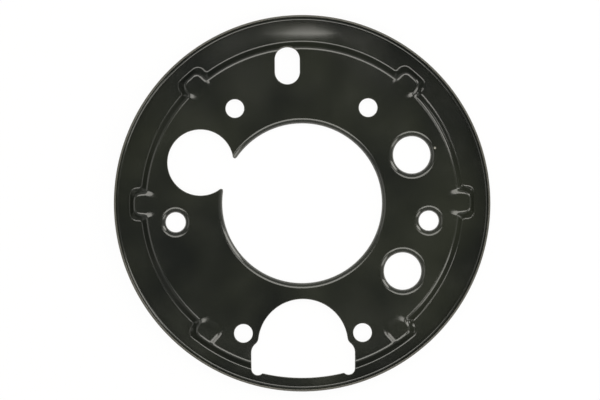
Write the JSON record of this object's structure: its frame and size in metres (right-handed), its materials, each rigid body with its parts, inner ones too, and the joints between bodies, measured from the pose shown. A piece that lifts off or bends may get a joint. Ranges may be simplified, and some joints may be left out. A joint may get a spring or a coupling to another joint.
{
  "type": "brake dust shield",
  "caption": "Round pressed-steel dust shield for a drum brake, with a turned-up rim, raised plateau, shoe ledges, central bore and cut-outs.",
  "frame": {"origin": "on the axis of the central bore, in the plane of the rim band's back face", "axes": "+Z along the bore towards the brake drum, +Y to the top of the plate as in the picture, +X to the picture's right"},
  "size_m": [0.282, 0.282, 0.0095],
  "materials": {
    "black_paint": "glossy black electro-dipped paint on pressed steel"
  },
  "bodies": {
    "root": {"dust_shield": "black_paint"}
  },
  "joints": []
}
